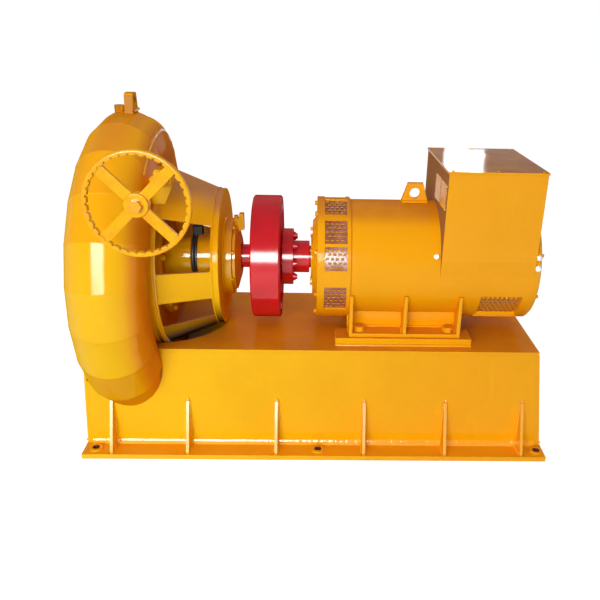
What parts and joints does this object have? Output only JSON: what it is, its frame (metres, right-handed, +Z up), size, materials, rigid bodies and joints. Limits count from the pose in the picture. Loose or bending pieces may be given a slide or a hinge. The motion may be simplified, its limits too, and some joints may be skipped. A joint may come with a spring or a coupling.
{
  "type": "hydroelectric generator set",
  "caption": "Horizontal Francis turbine with spiral case, red flywheel and coupling, and a drum-shaped generator on one welded steel base.",
  "frame": {"origin": "middle of the base underside, on the floor", "axes": "+X along the shaft toward the generator, +Y away from the handwheel side, +Z up"},
  "size_m": [1.8644, 1.2451, 1.359],
  "materials": {
    "yellow_paint": "gloss enamel",
    "base_paint": "gloss enamel",
    "generator_paint": "gloss enamel",
    "wheel_paint": "gloss enamel",
    "screen_paint": "gloss enamel on punched sheet",
    "red_paint": "gloss enamel",
    "runner_steel": "turned",
    "bolt_steel": "zinc plated",
    "spindle_steel": "turned"
  },
  "bodies": {
    "frame": {"anchor_bosses": "base_paint", "base_back_wall": "base_paint", "base_cross_plates": "base_paint", "base_foot_flanges": "base_paint", "base_front_wall": "base_paint", "base_gussets": "base_paint", "base_left_end": "base_paint", "base_right_end": "base_paint", "base_top_plate": "base_paint", "bearing_cover": "yellow_paint", "bearing_housing": "yellow_paint", "bearing_oil_filler": "yellow_paint", "bracket_cone": "yellow_paint", "bracket_disc": "yellow_paint", "draft_outlet": "yellow_paint", "draft_side_cover": "yellow_paint", "drive_bearing_cap": "generator_paint", "drive_end_shield": "generator_paint", "generator_band": "generator_paint", "generator_drum": "generator_paint", "generator_feet": "generator_paint", "generator_lifting_lug": "generator_paint", "generator_rear_cover": "generator_paint", "generator_seat_bars": "base_paint", "gland_housing": "yellow_paint", "guide_vane_ring": "yellow_paint", "hold_down_bolts": "bolt_steel", "inlet_flange": "yellow_paint", "rear_vent_screens": "yellow_paint", "regulator_bracket": "yellow_paint", "regulator_gear_box": "yellow_paint", "terminal_box": "generator_paint", "terminal_box_lid": "generator_paint", "terminal_box_louvres": "generator_paint", "turbine_lugs": "yellow_paint", "vent_screens": "screen_paint", "volute_casing": "yellow_paint"},
    "rotor": {"turbine_shaft": "red_paint", "turbine_runner": "runner_steel", "flywheel": "red_paint", "coupling_half": "red_paint", "coupling_pins": "bolt_steel", "generator_shaft": "red_paint"},
    "handwheel": {"handwheel": "wheel_paint", "handwheel_spindle": "spindle_steel"}
  },
  "joints": [
    {"name": "rotor_spin", "type": "hinge", "parent": "frame", "child": "rotor", "pos_m": [0, 0, 0.725], "axis": [1, 0, 0], "continuous": true},
    {"name": "handwheel_turn", "type": "hinge", "parent": "frame", "child": "handwheel", "pos_m": [-0.544, -0.708, 1.115], "axis": [0, -1, 0], "continuous": true}
  ]
}
